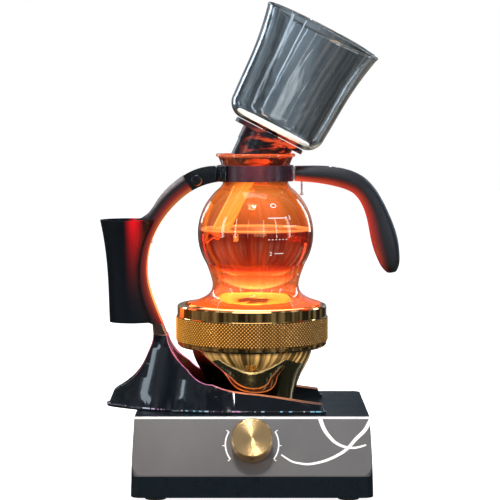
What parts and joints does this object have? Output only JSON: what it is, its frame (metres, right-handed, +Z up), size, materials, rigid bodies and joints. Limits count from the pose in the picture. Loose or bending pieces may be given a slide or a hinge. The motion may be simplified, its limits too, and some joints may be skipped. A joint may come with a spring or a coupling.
{
  "type": "siphon coffee brewer with beam heater",
  "caption": "Glass siphon brewer on a beam heater: globe with side handle, tilted upper bowl, black arm and stem holder, knurled brass lamp ring, dimmer knob.",
  "frame": {"origin": "on the table, on the vertical axis of the heater's lamp, which is the middle of the outline to within 2 mm", "axes": "+X to the user's right, along the handle; -Y to the user, who faces the dial; +Z up"},
  "size_m": [0.2463, 0.186, 0.3933],
  "materials": {
    "case_black": "semi-gloss black stove enamel",
    "panel_grey": "satin warm-grey printed panel with a fine brushed grain",
    "trim_silver": "bright anodised edge",
    "rubber": "matte moulded rubber",
    "steel": "bright zinc or stainless",
    "gland_nylon": "black nylon",
    "board_green": "coated circuit board",
    "component_plastic": "moulded components",
    "heat_sink": "extruded, satin",
    "lead_insulation": "silicone insulation",
    "gold_mirror": "gold-plated mirror polish",
    "ceramic": "glazed steatite",
    "lamp_glass": "clear quartz envelope",
    "reflector": "faceted bright aluminium",
    "lamp_window": "heat-resistant amber-lit glass",
    "brass": "polished and diamond-knurled brass",
    "knob_brass": "turned face, satin side",
    "gloss_black": "piano-black lacquer",
    "copper_chrome": "bright plated",
    "satin_black": "satin black",
    "satin_grey": "satin grey lacquer",
    "matte_black": "matt black, fine texture",
    "clear_glass": "clear borosilicate, fire-polished",
    "soft_grip": "soft-touch black",
    "stopper_rubber": "black silicone rubber",
    "filter_cloth": "cream cotton flannel"
  },
  "bodies": {
    "heater": {"base_tray": "case_black", "housing": "case_black", "front_panel": "panel_grey", "panel_trim": "trim_silver", "rubber_feet": "rubber", "tray_screws": "steel", "cord_gland": "gland_nylon", "gland_nut": "gland_nylon", "dimmer_board": "board_green", "board_parts": "component_plastic", "board_screws": "steel", "heat_sink": "heat_sink", "triac": "component_plastic", "potentiometer": "component_plastic", "pot_nut": "steel", "terminal_block": "component_plastic", "thermal_cutout": "steel", "lamp_leads": "lead_insulation", "supply_leads": "lead_insulation", "lamp_cup": "gold_mirror", "cup_screws": "steel", "lamp_socket": "ceramic", "halogen_lamp": "lamp_glass", "lamp_reflector": "reflector", "window_gasket": "rubber", "lamp_window": "lamp_window", "window_seal": "rubber"},
    "retaining_ring": {"knurled_ring": "brass"},
    "dimmer_knob": {"control_knob": "knob_brass", "knob_screw": "steel", "dimmer_shaft": "steel"},
    "stand": {"stand_foot": "gloss_black", "arm_bolt": "steel", "neck_sleeve": "copper_chrome", "stand_arm": "satin_black", "arm_cover": "satin_grey", "stem_holder": "matte_black", "holder_screws": "steel", "collar_bracket": "gloss_black", "bracket_screw": "gloss_black"},
    "server": {"globe": "clear_glass", "glass_foot": "clear_glass", "neck_liner": "rubber", "neck_collar": "gloss_black", "collar_screw": "steel", "handle": "soft_grip", "handle_tang": "steel", "glass_stay": "steel"},
    "stopper": {"stopper": "stopper_rubber"},
    "upper_chamber": {"upper_bowl": "clear_glass", "filter_plate": "steel", "filter_cloth": "filter_cloth", "filter_spring": "steel"},
    "pull_hook": {"filter_chain": "steel", "filter_hook": "steel"},
    "chain_tail": {"pull_chain": "steel"}
  },
  "joints": [
    {"name": "knob_turn", "type": "hinge", "parent": "heater", "child": "dimmer_knob", "pos_m": [0, -0.0715, 0.04293], "axis": [0, -0.8645, 0.5026], "range_deg": [-30, 240]},
    {"name": "ring_turn", "type": "hinge", "parent": "heater", "child": "retaining_ring", "pos_m": [0, 0, 0.13], "axis": [0, 0, 1], "range_deg": [0, 45]},
    {"name": "stand_slide", "type": "slide", "parent": "heater", "child": "stand", "axis": [-1, 0, 0], "range_m": [0, 0.2]},
    {"name": "server_pull", "type": "slide", "parent": "stand", "child": "server", "axis": [1, 0, 0], "range_m": [0, 0.12]},
    {"name": "chamber_tilt", "type": "hinge", "parent": "server", "child": "stopper", "pos_m": [0.03084, 0, 0.25665], "axis": [0, -1, 0], "range_deg": [0, 27.3]},
    {"name": "stem_slide", "type": "slide", "parent": "stopper", "child": "upper_chamber", "axis": [0.4587, 0, 0.8886], "range_m": [0, 0.045]},
    {"name": "hook_pull", "type": "slide", "parent": "upper_chamber", "child": "pull_hook", "axis": [-0.4587, 0, -0.8886], "range_m": [0, 0.0035], "stiffness_N_per_m": 150, "springref_m": -0.01, "deforming": ["filter_spring"]},
    {"name": "chain_swing", "type": "hinge", "parent": "pull_hook", "child": "chain_tail", "pos_m": [-0.03248, 0, 0.19576], "axis": [0, -1, 0], "range_deg": [0, 50]}
  ],
  "couplings": [
    {"joint": "chain_swing", "follows": "chamber_tilt", "ratio": 1.6}
  ]
}
